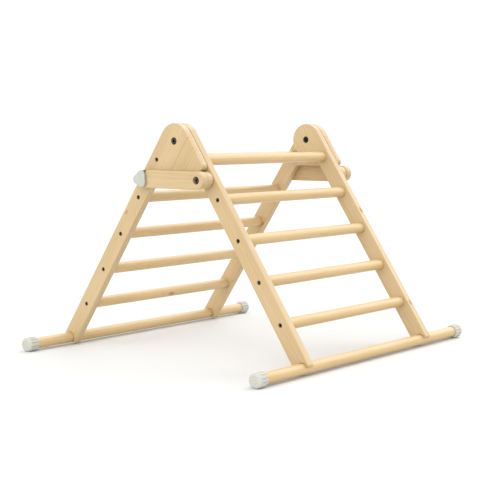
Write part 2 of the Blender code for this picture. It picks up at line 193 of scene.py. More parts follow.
def loft(rings, sides, hollow=False):
    """A closed mesh through rings of (reach, height) round Z; a reach is a radius or a rule of the angle."""
    work = bmesh.new()
    loops = []
    for reach, height in rings:
        loop = []
        for i in range(sides):
            turn = 2 * math.pi * i / sides
            size = reach(turn) if callable(reach) else reach
            loop.append(work.verts.new((size * math.cos(turn), size * math.sin(turn), height)))
        loops.append(loop)
    pairs = list(zip(loops, loops[1:]))
    if hollow:
        pairs.append((loops[-1], loops[0]))
    for low, high in pairs:
        for i in range(sides):
            work.faces.new((low[i - 1], low[i], high[i], high[i - 1]))
    if not hollow:
        work.faces.new(loops[0][::-1])
        work.faces.new(loops[-1])
    bmesh.ops.recalc_face_normals(work, faces=work.faces)
    mesh = bpy.data.meshes.new("loft")
    work.to_mesh(mesh)
    work.free()
    return mesh


def placed(mesh, turn, place):
    """A copy of the mesh, turned and then set at this place."""
    made = mesh.copy()
    made.transform(Matrix.Translation(place) @ turn)
    return made


def outward(side):
    """Turns a piece made along Z so that its top faces out from that side of the frame."""
    return Matrix.Rotation(-side * math.pi / 2, 4, "X")


def carved(mesh, shapes):
    """The mesh with these separate shapes taken out of it, in triangles and without slivers."""
    work = bmesh.new()
    for shape in shapes:
        work.from_mesh(shape)
    joined = bpy.data.meshes.new("cutter")
    work.to_mesh(joined)
    work.clear()
    cutter = bpy.data.objects.new("cutter", joined)
    bpy.context.scene.collection.objects.link(cutter)
    blank = bpy.data.objects.new("blank", mesh)
    boolean = blank.modifiers.new("cut", "BOOLEAN")
    boolean.solver = "EXACT"
    boolean.object = cutter
    made = baked(blank)
    bpy.data.objects.remove(cutter)
    work.from_mesh(made)
    bmesh.ops.triangulate(work, faces=work.faces)
    bmesh.ops.remove_doubles(work, verts=work.verts, dist=0.001 * MM)
    work.to_mesh(made)
    work.free()
    return made


def drill(radius, depth, lip=0.5 * MM):
    """The space of a flat-bottomed hole whose mouth, at 0, is slightly eased."""
    return loft([(radius, -depth), (radius, -lip), (radius + lip, 0), (radius + lip, 2 * MM)], 48)


def evened(mesh):
    """Shading normals that keep flat faces flat beside their rounded edges."""
    mesh.shade_smooth()
    mesh.set_sharp_from_angle(angle=math.radians(32))
    made = bpy.data.objects.new("evened", mesh)
    weighted = made.modifiers.new("weighted", "WEIGHTED_NORMAL")
    weighted.keep_sharp = True
    weighted.weight = 80
    return baked(made)


# How far away in the timber the second stave of a glued board is cut
NEXT_STAVE = Vector((0.53, 0.11, 0.012))


def lay_grain(mesh, start, along, across, shift, joint=None, warm=(0.0, 0.0)):
    """Stores, for each corner, its place in the timber and how warm its stave's wood is.

    The place runs along the grain and across it from the pith. With a joint, the wood beyond that
    distance across is another stave, with grain and warmth of its own, past a thin line of glue.
    """
    through = along.cross(across)
    if joint is not None:
        work = bmesh.new()
        work.from_mesh(mesh)
        for edge in (joint, joint + GLUE_WIDTH):
            everything = work.verts[:] + work.edges[:] + work.faces[:]
            bmesh.ops.bisect_plane(work, geom=everything, plane_co=start + across * edge, plane_no=across)
        work.to_mesh(mesh)
        work.free()
    mesh.attributes.new("grain", "FLOAT_VECTOR", "CORNER")
    mesh.attributes.new("stave", "FLOAT", "CORNER")
    grain = mesh.attributes["grain"]
    stave = mesh.attributes["stave"]
    for face in mesh.polygons:
        past = math.inf if joint is None else (face.center - start).dot(across) - joint
        offset = shift + NEXT_STAVE * (past < 0)
        warmth = warm[1] if past < 0 else GLUE_WARMTH if past < GLUE_WIDTH else warm[0]
        for corner in face.loop_indices:
            place = mesh.vertices[mesh.loops[corner].vertex_index].co - start
            in_timber = Vector((place.dot(along), place.dot(across), place.dot(through)))
            grain.data[corner].vector = in_timber + offset
            stave.data[corner].value = warmth


# Nodes


def add(tree, kind, inputs=None, **settings):
    """A node of this kind with its settings; each named input takes a value or another node's socket."""
    made = tree.nodes.new(kind)
    for key, value in settings.items():
        setattr(made, key, value)
    for key, value in (inputs or {}).items():
        if isinstance(value, bpy.types.NodeSocket):
            tree.links.new(value, made.inputs[key])
        else:
            made.inputs[key].default_value = value
    return made


def linear(code):
    """Linear red, green, blue and alpha of an sRGB hex colour."""
    parts = [int(code[i : i + 2], 16) / 255 for i in (0, 2, 4)]
    return [p / 12.92 if p <= 0.04045 else ((p + 0.055) / 1.055) ** 2.4 for p in parts] + [1.0]


def new_look(name, **sockets):
    """A material with its Principled shader, and values set on the shader's own sockets."""
    look = bpy.data.materials.new(name)
    look.use_nodes = True
    shader = look.node_tree.nodes["Principled BSDF"]
    for key, value in sockets.items():
        shader.inputs[key.replace("_", " ").title().replace("Ior", "IOR")].default_value = value
    return look, look.node_tree, shader


def ramp(tree, factor, stops):
    """A colour ramp through (place, hex colour) stops."""
    made = add(tree, "ShaderNodeValToRGB", {"Fac": factor})
    band = made.color_ramp
    while len(band.elements) < len(stops):
        band.elements.new(0.5)
    for element, (place, code) in zip(band.elements, stops):
        element.position = place
        element.color = linear(code)
    return made.outputs["Color"]


def pine(name, light, dark, warm, ring, knots):
    """Pine, planed or turned, sanded and given two coats of clear satin lacquer.

    The eye sees faint straight growth rings, each soft on one side and sharper on the other, fine
    pores along the grain, paler and warmer staves, a dull sheen, and a few small reddish knots that
    the rings bend round. Each knot has its place in the timber, its radius and its colour.
    """
    look, tree, shader = new_look(name, roughness=0.42, ior=1.5, coat_weight=0.22, coat_roughness=0.3)
    grain = add(tree, "ShaderNodeAttribute", attribute_name="grain").outputs["Vector"]
    stave = add(tree, "ShaderNodeAttribute", attribute_name="stave").outputs["Fac"]

    # Rings wander by some 6 mm, over about 400 mm along the board and 40 mm across it, so they lie unevenly
    bend_place = add(tree, "ShaderNodeMapping", {"Vector": grain, "Scale": (2.6, 26.0, 26.0)})
    bend = add(tree, "ShaderNodeTexNoise", {"Vector": bend_place.outputs[0], "Scale": 1.0, "Detail": 2.0})
    bend_even = add(
        tree, "ShaderNodeVectorMath", {0: bend.outputs["Color"], 1: (0.5, 0.5, 0.5)}, operation="SUBTRACT"
    )
    bend_size = add(
        tree, "ShaderNodeVectorMath", {0: bend_even.outputs[0], 1: (0.0, 0.024, 0.024)}, operation="MULTIPLY"
    )
    bent = add(tree, "ShaderNodeVectorMath", {0: grain, 1: bend_size.outputs[0]}, operation="ADD")
    flat = add(tree, "ShaderNodeVectorMath", {0: bent.outputs[0], 1: (0.0, 1.0, 1.0)}, operation="MULTIPLY")
    pith = add(tree, "ShaderNodeVectorMath", {0: flat.outputs[0]}, operation="LENGTH")
    count = add(tree, "ShaderNodeMath", {0: pith.outputs["Value"], 1: ring}, operation="DIVIDE").outputs[0]

    # Knots are drawn out along the grain, and push the rings aside over four times their own radius
    hearts = []
    for place, radius, code in knots:
        apart = add(tree, "ShaderNodeVectorMath", {0: grain, 1: place}, operation="SUBTRACT")
        reach = (0.45 / radius, 1 / radius, 1 / radius)
        drawn = add(tree, "ShaderNodeVectorMath", {0: apart.outputs[0], 1: reach}, operation="MULTIPLY")
        far = add(tree, "ShaderNodeVectorMath", {0: drawn.outputs[0]}, operation="LENGTH").outputs["Value"]
        swirl = add(
            tree,
            "ShaderNodeMapRange",
            {"Value": far, "From Min": 4.0, "From Max": 0.6, "To Max": 1.5},
            interpolation_type="SMOOTHSTEP",
        )
        count = add(tree, "ShaderNodeMath", {0: count, 1: swirl.outputs[0]}, operation="ADD").outputs[0]
        core = add(
            tree,
            "ShaderNodeMapRange",
            {"Value": far, "From Min": 1.15, "From Max": 0.5},
            interpolation_type="SMOOTHSTEP",
        )
        hearts.append((core.outputs[0], linear(code)))

    year = add(tree, "ShaderNodeMath", {0: count}, operation="FRACT")
    late = add(
        tree,
        "ShaderNodeMapRange",
        {"Value": year.outputs[0], "From Min": 0.2, "From Max": 0.85},
        interpolation_type="SMOOTHSTEP",
    )
    fall = add(tree, "ShaderNodeMapRange", {"Value": year.outputs[0], "From Min": 1.0, "From Max": 0.85})
    band = add(tree, "ShaderNodeMath", {0: late.outputs[0], 1: fall.outputs[0]}, operation="MULTIPLY")

    # Pores are drawn about 2 mm wide and 50 mm long, several times as coarse as real ones, so that they show
    pore_place = add(tree, "ShaderNodeMapping", {"Vector": bent.outputs[0], "Scale": (20.0, 520.0, 520.0)})
    pores = add(tree, "ShaderNodeTexNoise", {"Vector": pore_place.outputs[0], "Scale": 1.0, "Detail": 3.0})
    tone_place = add(tree, "ShaderNodeMapping", {"Vector": grain, "Scale": (3.5, 24.0, 24.0)})
    tone = add(tree, "ShaderNodeTexNoise", {"Vector": tone_place.outputs[0], "Scale": 1.0, "Detail": 2.0})

    # Some rings are bolder than others: the noise that bends them also lets them come and go
    bold = add(
        tree,
        "ShaderNodeMapRange",
        {"Value": bend.outputs["Fac"], "From Min": 0.35, "From Max": 0.7, "To Min": 0.05, "To Max": 0.3},
    )
    streak = add(tree, "ShaderNodeMath", {0: band.outputs[0], 1: bold.outputs[0]}, operation="MULTIPLY")
    fibre = add(tree, "ShaderNodeMath", {0: pores.outputs["Fac"], 1: 0.5}, operation="SUBTRACT")
    fleck = add(
        tree, "ShaderNodeMath", {0: fibre.outputs[0], 1: 0.6, 2: streak.outputs[0]}, operation="MULTIPLY_ADD"
    )
    slow = add(tree, "ShaderNodeMath", {0: tone.outputs["Fac"], 1: 0.36}, operation="SUBTRACT")
    depth = add(
        tree,
        "ShaderNodeMath",
        {0: slow.outputs[0], 1: 0.7, 2: fleck.outputs[0]},
        operation="MULTIPLY_ADD",
        use_clamp=True,
    )
    wood = ramp(tree, depth.outputs[0], [(0.0, light), (1.0, dark)])
    toned = wood
    for share, color in [(stave, linear(warm))] + hearts:
        toned = add(tree, "ShaderNodeMix", {"Factor": share, 6: toned, 7: color}, data_type="RGBA").outputs[2]
    tree.links.new(toned, shader.inputs["Base Color"])

    sheen = add(
        tree,
        "ShaderNodeMapRange",
        {"Value": fleck.outputs[0], "From Max": 0.8, "To Min": 0.38, "To Max": 0.52},
    )
    tree.links.new(sheen.outputs[0], shader.inputs["Roughness"])
    relief = add(tree, "ShaderNodeBump", {"Height": fleck.outputs[0], "Strength": 0.12, "Distance": 0.0002})
    tree.links.new(relief.outputs[0], shader.inputs["Normal"])
    return look


def moulded(name, color, shade, roughness, grit):
    """Soft or hard plastic from a finely eroded mould.

    The eye sees an even pale grey with a slight matte grit and a little unevenness of sheen.
    """
    look, tree, shader = new_look(name, roughness=roughness, ior=1.46)
    place = add(tree, "ShaderNodeTexCoord").outputs["Object"]
    cloud = add(tree, "ShaderNodeTexNoise", {"Vector": place, "Scale": 45.0, "Detail": 2.0})
    tint = ramp(tree, cloud.outputs["Fac"], [(0.3, color), (0.75, shade)])
    tree.links.new(tint, shader.inputs["Base Color"])
    grains = add(tree, "ShaderNodeTexNoise", {"Vector": place, "Scale": grit, "Detail": 1.0})
    sheen = add(
        tree,
        "ShaderNodeMapRange",
        {"Value": cloud.outputs["Fac"], "To Min": roughness - 0.07, "To Max": roughness + 0.07},
    )
    tree.links.new(sheen.outputs[0], shader.inputs["Roughness"])
    relief = add(
        tree, "ShaderNodeBump", {"Height": grains.outputs["Fac"], "Strength": 0.15, "Distance": 0.0002}
    )
    tree.links.new(relief.outputs[0], shader.inputs["Normal"])
    return look


def screw_steel(name, color, bright, highlight_color, roughness):
    """Pressed steel, blackened or zinc plated.

    The eye sees a dark or bright metal with a slightly mottled coat and fine marks from the die.
    A paler colour is painted on the flat crown round the socket as a painted highlight.
    """
    look, tree, shader = new_look(name, metallic=1.0, roughness=roughness)
    place = add(tree, "ShaderNodeTexCoord").outputs["Object"]
    mottle = add(tree, "ShaderNodeTexNoise", {"Vector": place, "Scale": 700.0, "Detail": 3.0})
    coat = ramp(tree, mottle.outputs["Fac"], [(0.35, color), (0.7, bright)])
    # How much of the painted highlight colour each point of the crown takes
    rubbed = add(tree, "ShaderNodeAttribute", attribute_name="rubbed").outputs["Fac"]
    both = add(tree, "ShaderNodeMix", {"Factor": rubbed, 6: coat, 7: linear(highlight_color)}, data_type="RGBA")
    tree.links.new(both.outputs[2], shader.inputs["Base Color"])
    sheen = add(
        tree,
        "ShaderNodeMapRange",
        {"Value": mottle.outputs["Fac"], "To Min": roughness - 0.08, "To Max": roughness + 0.1},
    )
    tree.links.new(sheen.outputs[0], shader.inputs["Roughness"])
    marks = add(tree, "ShaderNodeTexNoise", {"Vector": place, "Scale": 2500.0, "Detail": 1.0})
    relief = add(
        tree, "ShaderNodeBump", {"Height": marks.outputs["Fac"], "Strength": 0.1, "Distance": 0.0001}
    )
    tree.links.new(relief.outputs[0], shader.inputs["Normal"])
    return look


def studio_floor(name):
    """Matt white paper: a pale even ground with a very slight tooth."""
    look, tree, shader = new_look(name, roughness=0.9)
    place = add(tree, "ShaderNodeTexCoord").outputs["Object"]
    tooth = add(tree, "ShaderNodeTexNoise", {"Vector": place, "Scale": 900.0})
    tint = ramp(tree, tooth.outputs["Fac"], [(0.2, "D4D4D3"), (0.8, "D7D7D6")])
    tree.links.new(tint, shader.inputs["Base Color"])
    return look


# Where each rail's wood comes from in its timber: along the grain, then across it from the pith
RAIL_TIMBER = {
    ("front", "near"): Vector((0.31, 0.083, 0.026)),
    ("front", "far"): Vector((1.97, 0.064, 0.031)),
    ("rear", "near"): Vector((3.45, 0.095, 0.034)),
    ("rear", "far"): Vector((5.24, 0.072, 0.018)),
}
# How warm it is, and beyond the joint of a head plate
RAIL_WARMTH = {
    ("front", "near"): (0.1, 0.0),
    ("front", "far"): (0.0, 0.0),
    ("rear", "near"): (0.0, 0.05),
    ("rear", "far"): (0.15, 0.35),
}
BAR_TIMBER = {"near": Vector((7.1, 0.07, 0.02)), "far": Vector((8.3, 0.09, 0.03))}
BAR_WARMTH = {"near": (0.0, 0.0), "far": (0.3, 0.0)}
# The rungs of a ladder come from dowels one after another, its ground bar from another
RUNG_TIMBER = {"front": Vector((10.0, 0.012, 0.021)), "rear": Vector((20.0, 0.019, 0.014))}
GROUND_BAR_TIMBER = {"front": Vector((30.0, 0.024, 0.012)), "rear": Vector((32.0, 0.015, 0.02))}
RUNG_TIMBER_STEP = Vector((1.3, 0.002, -0.0015))

# Knots from the middle of the board or dowel that they are in; those on an edge are cut across, and darker
RED_KNOT = "B07E49"
DARK_KNOT = "965E10"
BOARD_KNOTS = [
    (RAIL_TIMBER["front", "far"] + Vector((260, 44.5, 0)) * MM, 5 * MM, DARK_KNOT),
    (RAIL_TIMBER["front", "far"] + Vector((551, 44.5, 0)) * MM, 4.5 * MM, DARK_KNOT),
    (RAIL_TIMBER["rear", "near"] + Vector((243, 35, -10.5)) * MM, 3.5 * MM, RED_KNOT),
    (RAIL_TIMBER["rear", "far"] + Vector((300, 5, -10.5)) * MM, 4 * MM, RED_KNOT),
]
LAST_REAR_RUNG = RUNG_TIMBER["rear"] + (RUNG_COUNT - 1) * RUNG_TIMBER_STEP
DOWEL_KNOTS = [(LAST_REAR_RUNG + Vector((-24, 13, -5)) * MM, 6 * MM, RED_KNOT)]

# Light and dark are the two sides of a growth ring, 9 mm from ring to ring in the boards and 5 in the dowels
PINE_BOARD = pine("satin_lacquered_pine_board", "C5AC81", "A78755", "BA925D", 9 * MM, BOARD_KNOTS)
PINE_DOWEL = pine("satin_lacquered_pine_dowel", "CFB584", "B19059", "C7A26C", 5 * MM, DOWEL_KNOTS)
CAP_RUBBER = moulded("thermoplastic_rubber_moulded", "C1C0B7", "B9B9AF", 0.6, 1400.0)
KNOB_NYLON = moulded("nylon_moulded_grey", "B8BAAF", "B0B3A7", 0.45, 1800.0)
WASHER_NYLON = moulded("nylon_sheet_white", "E0DDD3", "D8D5CB", 0.5, 1800.0)
# The last colour of each steel is painted on screw crowns as a painted highlight
BLACK_STEEL = screw_steel("blackened_steel", "131416", "222428", "85898F", 0.34)
ZINC_STEEL = screw_steel("zinc_plated_steel", "A9ACB0", "C3C6C9", "C3C6C9", 0.32)


def piece(name, mesh, look, body, slot, *nodes):
    """Sets a finished mesh in the scene, on its body and in place of its frame nodes."""
    mesh.name = name
    mesh.materials.clear()
    mesh.materials.append(look)
    made = bpy.data.objects.new(name, mesh)
    bpy.context.scene.collection.objects.link(made)
    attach(made, body)
    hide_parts(*nodes)
    return made


def smooth(mesh):
    """The mesh shaded smooth, with its sharp edges kept."""
    mesh.shade_smooth()
    mesh.set_sharp_from_angle(angle=math.radians(32))
    return mesh


# Trees that repeat a shape


def start_tree(name, sizes):
    """A Geometry Nodes tree with these named inputs, and its input and output nodes."""
    tree = bpy.data.node_groups.new(name, "GeometryNodeTree")
    tree.interface.new_socket("Geometry", in_out="OUTPUT", socket_type="NodeSocketGeometry")
    tree.interface.new_socket("Geometry", in_out="INPUT", socket_type="NodeSocketGeometry")
    for label, kind in sizes.items():
        tree.interface.new_socket(label, in_out="INPUT", socket_type=f"NodeSocket{kind}")
    return tree, tree.nodes.new("NodeGroupInput").outputs, tree.nodes.new("NodeGroupOutput")


def grown(tree, values, blank=None):
    """The plain mesh that a tree makes from a blank with these values for its named inputs."""
    made = bpy.data.objects.new(tree.name, blank or bpy.data.meshes.new(tree.name))
    modifier = made.modifiers.new(tree.name, "NODES")
    modifier.node_group = tree
    for item in tree.interface.items_tree:
        if item.in_out == "INPUT" and item.name in values:
            modifier[item.identifier] = values[item.name]
    return baked(made)


def rung_tree():
    """A row of dowels across the ladder, each cut from another length of timber."""
    tree, sizes, end = start_tree(
        "rung_row",
        {
            "Count": "Int",
            "First": "Vector",
            "Step": "Vector",
            "Radius": "Float",
            "Length": "Float",
            "Timber": "Vector",
            "Timber Step": "Vector",
            "Seed": "Int",
            "Material": "Material",
        },
    )
    dowel = add(
        tree,
        "GeometryNodeMeshCylinder",
        {"Vertices": 64, "Side Segments": 1, "Radius": sizes["Radius"], "Depth": sizes["Length"]},
    )
    place = add(tree, "GeometryNodeInputPosition")
    axes = add(tree, "ShaderNodeSeparateXYZ", {0: place.outputs[0]})
    timber = add(
        tree,
        "ShaderNodeCombineXYZ",
        {"X": axes.outputs["Z"], "Y": axes.outputs["X"], "Z": axes.outputs["Y"]},
    )
    marked = add(
        tree,
        "GeometryNodeStoreNamedAttribute",
        {"Geometry": dowel.outputs["Mesh"], "Name": "grain", "Value": timber.outputs[0]},
        data_type="FLOAT_VECTOR",
        domain="POINT",
    )
    row = add(
        tree,
        "GeometryNodeMeshLine",
        {"Count": sizes["Count"], "Start Location": sizes["First"], "Offset": sizes["Step"]},
    )
    set_out = add(
        tree,
        "GeometryNodeInstanceOnPoints",
        {"Points": row.outputs[0], "Instance": marked.outputs[0], "Rotation": (math.pi / 2, 0.0, 0.0)},
    )
    number = add(tree, "GeometryNodeInputIndex")
    shift = add(
        tree,
        "ShaderNodeVectorMath",
        {0: sizes["Timber Step"], 1: number.outputs[0], 2: sizes["Timber"]},
        operation="MULTIPLY_ADD",
    )
    warmth = add(tree, "FunctionNodeRandomValue", {3: 0.4, "Seed": sizes["Seed"]}, data_type="FLOAT")
    warmed = add(
        tree,
        "GeometryNodeStoreNamedAttribute",
        {"Geometry": set_out.outputs[0], "Name": "stave", "Value": warmth.outputs[1]},
        data_type="FLOAT",
        domain="INSTANCE",
    )
    apart = add(
        tree,
        "GeometryNodeStoreNamedAttribute",
        {"Geometry": warmed.outputs[0], "Name": "shift", "Value": shift.outputs[0]},
        data_type="FLOAT_VECTOR",
        domain="INSTANCE",
    )
    real = add(tree, "GeometryNodeRealizeInstances", {0: apart.outputs[0]})
    own = add(tree, "GeometryNodeInputNamedAttribute", {"Name": "grain"}, data_type="FLOAT_VECTOR")
    moved = add(tree, "GeometryNodeInputNamedAttribute", {"Name": "shift"}, data_type="FLOAT_VECTOR")
    both = add(tree, "ShaderNodeVectorMath", {0: own.outputs[0], 1: moved.outputs[0]}, operation="ADD")
    grain = add(
        tree,
        "GeometryNodeStoreNamedAttribute",
        {"Geometry": real.outputs[0], "Name": "grain", "Value": both.outputs[0]},
        data_type="FLOAT_VECTOR",
        domain="POINT",
    )
    tidy = add(tree, "GeometryNodeRemoveAttribute", {"Geometry": grain.outputs[0], "Name": "shift"})
    coat = add(tree, "GeometryNodeSetMaterial", {"Geometry": tidy.outputs[0], "Material": sizes["Material"]})
    tree.links.new(coat.outputs[0], end.inputs[0])
    return tree


def screw_tree():
    """Rows of screws up the outer faces of both rails, each turned home to its own angle."""
    tree, sizes, end = start_tree(
        "screw_rows",
        {
            "Screw": "Object",
            "Count": "Int",
            "First": "Vector",
            "Step": "Vector",
            "Seed": "Int",
            "Material": "Material",
        },
    )
    shape = add(tree, "GeometryNodeObjectInfo", {"Object": sizes["Screw"]})
    row = add(
        tree,
        "GeometryNodeMeshLine",
        {"Count": sizes["Count"], "Start Location": sizes["First"], "Offset": sizes["Step"]},
    )
    set_in = add(
        tree,
        "GeometryNodeInstanceOnPoints",
        {
            "Points": row.outputs[0],
            "Instance": shape.outputs["Geometry"],
            "Rotation": (math.pi / 2, 0.0, 0.0),
        },
    )
    angle = add(tree, "FunctionNodeRandomValue", {3: math.pi, "Seed": sizes["Seed"]}, data_type="FLOAT")
    spin = add(tree, "ShaderNodeCombineXYZ", {"Z": angle.outputs[1]})
    home = add(
        tree,
        "GeometryNodeRotateInstances",
        {"Instances": set_in.outputs[0], "Rotation": spin.outputs[0], "Local Space": True},
    )
    real = add(tree, "GeometryNodeRealizeInstances", {0: home.outputs[0]})
    across = add(tree, "GeometryNodeTransform", {"Geometry": real.outputs[0], "Scale": (1.0, -1.0, 1.0)})
    other = add(tree, "GeometryNodeFlipFaces", {0: across.outputs[0]})
    both = add(tree, "GeometryNodeJoinGeometry")
    tree.links.new(real.outputs[0], both.inputs[0])
    tree.links.new(other.outputs[0], both.inputs[0])
    plain = add(tree, "GeometryNodeRealizeInstances", {0: both.outputs[0]})
    coat = add(tree, "GeometryNodeSetMaterial", {"Geometry": plain.outputs[0], "Material": sizes["Material"]})
    tree.links.new(coat.outputs[0], end.inputs[0])
    return tree


def rib_tree():
    """Presses rounded grooves along a cap's skirt, which fade out below its smooth end."""
    tree, sizes, end = start_tree(
        "ribbed_skirt",
        {"Ribs": "Float", "Depth": "Float", "Skirt": "Float", "Inside": "Float", "Material": "Material"},
    )
    place = add(tree, "GeometryNodeInputPosition")
    axes = add(tree, "ShaderNodeSeparateXYZ", {0: place.outputs[0]})
    turn = add(tree, "ShaderNodeMath", {0: axes.outputs["Y"], 1: axes.outputs["X"]}, operation="ARCTAN2")
    wave = add(tree, "ShaderNodeMath", {0: turn.outputs[0], 1: sizes["Ribs"]}, operation="MULTIPLY")
    swing = add(tree, "ShaderNodeMath", {0: wave.outputs[0]}, operation="COSINE")
    groove = add(
        tree,
        "ShaderNodeMapRange",
        {"Value": swing.outputs[0], "From Min": 0.25, "From Max": -0.9},
        interpolation_type="SMOOTHSTEP",
    )
    fade_top = add(tree, "ShaderNodeMath", {0: sizes["Skirt"], 1: 3 * MM}, operation="ADD")
    fade = add(
        tree,
        "ShaderNodeMapRange",
        {"Value": axes.outputs["Z"], "From Min": fade_top.outputs[0], "From Max": sizes["Skirt"]},
        interpolation_type="SMOOTHSTEP",
    )
    level = add(tree, "ShaderNodeVectorMath", {0: place.outputs[0], 1: (1.0, 1.0, 0.0)}, operation="MULTIPLY")
    reach = add(tree, "ShaderNodeVectorMath", {0: level.outputs[0]}, operation="LENGTH")
    skin = add(
        tree, "ShaderNodeMath", {0: reach.outputs["Value"], 1: sizes["Inside"]}, operation="GREATER_THAN"
    )
    dip = add(tree, "ShaderNodeMath", {0: groove.outputs[0], 1: fade.outputs[0]}, operation="MULTIPLY")
    kept = add(tree, "ShaderNodeMath", {0: dip.outputs[0], 1: skin.outputs[0]}, operation="MULTIPLY")
    deep = add(tree, "ShaderNodeMath", {0: kept.outputs[0], 1: sizes["Depth"]}, operation="MULTIPLY")
    inward = add(tree, "ShaderNodeMath", {0: deep.outputs[0], 1: -1.0}, operation="MULTIPLY")
    away = add(tree, "ShaderNodeVectorMath", {0: level.outputs[0]}, operation="NORMALIZE")
    push = add(
        tree, "ShaderNodeVectorMath", {0: away.outputs[0], "Scale": inward.outputs[0]}, operation="SCALE"
    )
    pressed = add(tree, "GeometryNodeSetPosition", {"Geometry": sizes["Geometry"], "Offset": push.outputs[0]})
    real = add(tree, "GeometryNodeRealizeInstances", {0: pressed.outputs[0]})
    coat = add(tree, "GeometryNodeSetMaterial", {"Geometry": real.outputs[0], "Material": sizes["Material"]})
    tree.links.new(coat.outputs[0], end.inputs[0])
    return tree


RUNG_ROW = rung_tree()
SCREW_ROWS = screw_tree()
RIBBED_SKIRT = rib_tree()


# Fasteners, made along Z with the head's seat at 0


def hexagon(flat):
    """Reach of a hexagon that measures twice this across its flats."""
    return lambda turn: flat / math.cos(turn % (math.pi / 3) - math.pi / 6)


def socket_headed(head, height, shank, length, socket, crown, rubbed):
    """A screw with a sloping head, a flat crown round its hexagon socket, and a plain shank.

    The last argument is how much of the painted highlight colour the flat crown gets.
    """
    sides = 48
    rings = [
        (shank * 0.6, -length),
        (shank, -length + shank * 0.5),
        (shank, 0),
        (head * 0.97, 0),
        (head, height * 0.1),
        (head, height * 0.35),
        (head * 0.97, height * 0.45),
        (crown * 1.06, height * 0.94),
        (crown, height),
        (hexagon(socket * 1.08), height),
        (hexagon(socket), height - 0.3 * MM),
        (hexagon(socket), height * 0.3),
    ]
    mesh = smooth(loft(rings, sides))
    # Only the top of the crown takes the painted highlight colour
    highlight_share = mesh.attributes.new("rubbed", "FLOAT", "POINT")
    for point, vertex in zip(highlight_share.data, mesh.vertices):
        point.value = rubbed if vertex.co.z > height * 0.98 else 0.0
    return mesh


# The last value of each screw sets how strongly the painted highlight shows on its crown
RUNG_SCREW = socket_headed(
    head=4.9 * MM, height=2.6 * MM, shank=2.5 * MM, length=50 * MM, socket=2 * MM, crown=3.4 * MM, rubbed=0.3
)
PIVOT_BOLT = socket_headed(
    head=8.7 * MM, height=3 * MM, shank=3 * MM, length=24 * MM, socket=3.8 * MM, crown=6 * MM, rubbed=0.45
)
PIVOT_SLEEVE = socket_headed(
    head=8.7 * MM, height=3 * MM, shank=3 * MM, length=24 * MM, socket=3.8 * MM, crown=6 * MM, rubbed=0.15
)
LOCK_LENGTH = BOARD - LOCK_RECESS + BAR_INNER - FRONT_OUTER + 16 * MM
LOCK_BOLT = socket_headed(
    head=8 * MM, height=5 * MM, shank=4 * MM, length=LOCK_LENGTH, socket=3 * MM, crown=5 * MM, rubbed=0.45
)


# Boards


def front_rail_outline():
    """A straight leg whose head is a disc round the pivot."""
    neck = 8 * MM
    neck_along = math.sqrt((HEAD_RADIUS + neck) ** 2 - (neck - RAIL_IN) ** 2)
    neck_turn = math.atan2(neck_along, RAIL_IN - neck)
    points = arc((HEAD_RADIUS - FOOT_ROUND, FOOT_END - FOOT_ROUND), FOOT_ROUND, math.pi / 2, 0)
    points += arc((0, 0), HEAD_RADIUS, 0, neck_turn - 2 * math.pi)
    points += arc((RAIL_IN - neck, neck_along), neck, neck_turn - math.pi, 0)
    points += arc((RAIL_IN + FOOT_ROUND, FOOT_END - FOOT_ROUND), FOOT_ROUND, math.pi, math.pi / 2)
    return [leg(FRONT, along, out) for out, along in points]


def rear_rail_outline():
    """A leg with a triangular head plate whose other side lies along the front leg's outer edge."""
    corner = (PLATE_DROP + HEAD_RADIUS * SIN) / COS
    inner = (PLATE_DROP + RAIL_IN * SIN) / COS
    return rounded(
        [
            (leg(REAR, FOOT_END, HEAD_RADIUS), FOOT_ROUND),
            (Vector((0, HEAD_RADIUS / SIN)), HEAD_RADIUS),
            (leg(FRONT, corner, HEAD_RADIUS), 12 * MM),
            (leg(REAR, inner, RAIL_IN), 10 * MM),
            (leg(REAR, FOOT_END, RAIL_IN), FOOT_ROUND),
        ]
    )


def stud_in_bar(fold):
    """Where the knob's stud lies from the lock bar's bolt, on the bar's own axes, at this fold."""
    stud = Matrix.Rotation(fold, 2) @ Vector((-LOCK_POINT.x, LOCK_POINT.y))
    return Matrix.Rotation(-fold * BAR_SWING / FOLD, 2) @ (stud - LOCK_POINT)


def slot_outline():
    """The stud's way out of the bar's end as the bar drops: a slot with a round seat."""
    half = STUD_RADIUS + 2 * SEAT_GAP
    path = [stud_in_bar(math.radians(1.5) * i) for i in range(8)]
    steps = [(b - a).normalized() for a, b in zip(path, path[1:])]
    steps.append(steps[-1])
    lefts = [point + half * Vector((-step.y, step.x)) for point, step in zip(path, steps)]
    rights = [point - half * Vector((-step.y, step.x)) for point, step in zip(path, steps)]
    start = math.atan2(steps[0].x, -steps[0].y)
    return lefts[:0:-1] + arc(path[0], half, start, start + math.pi) + rights[1:]


def bar_outline():
    """A straight bar with round ends, from its bolt to the knob's stud."""
    end = BAR_HEIGHT / 2
    tail = arc((-LOCK_SPAN, 0), end, math.pi / 2, 3 * math.pi / 2)
    return tail + arc((0, 0), end, -math.pi / 2, math.pi / 2)


rung_socket = drill(RUNG_RADIUS + SEAT_GAP, SOCKET_DEPTH, 0.3 * MM)
screw_recess = drill(5.4 * MM, SCREW_RECESS + SEAT_GAP)
pivot_recess = drill(9.1 * MM, PIVOT_RECESS + SEAT_GAP)
lock_recess = drill(9.6 * MM, LOCK_RECESS + SEAT_GAP, 0.8 * MM)
saddle = loft(
    [
        (RUNG_RADIUS + SADDLE_EASE, -BOARD),
        (RUNG_RADIUS + SADDLE_EASE, -BOARD / 2),
        (RUNG_RADIUS + SEAT_GAP, SADDLE_EASE - BOARD / 2),
        (RUNG_RADIUS + SEAT_GAP, BOARD / 2 - SADDLE_EASE),
        (RUNG_RADIUS + SADDLE_EASE, BOARD / 2),
        (RUNG_RADIUS + SADDLE_EASE, BOARD),
    ],
    64,
)


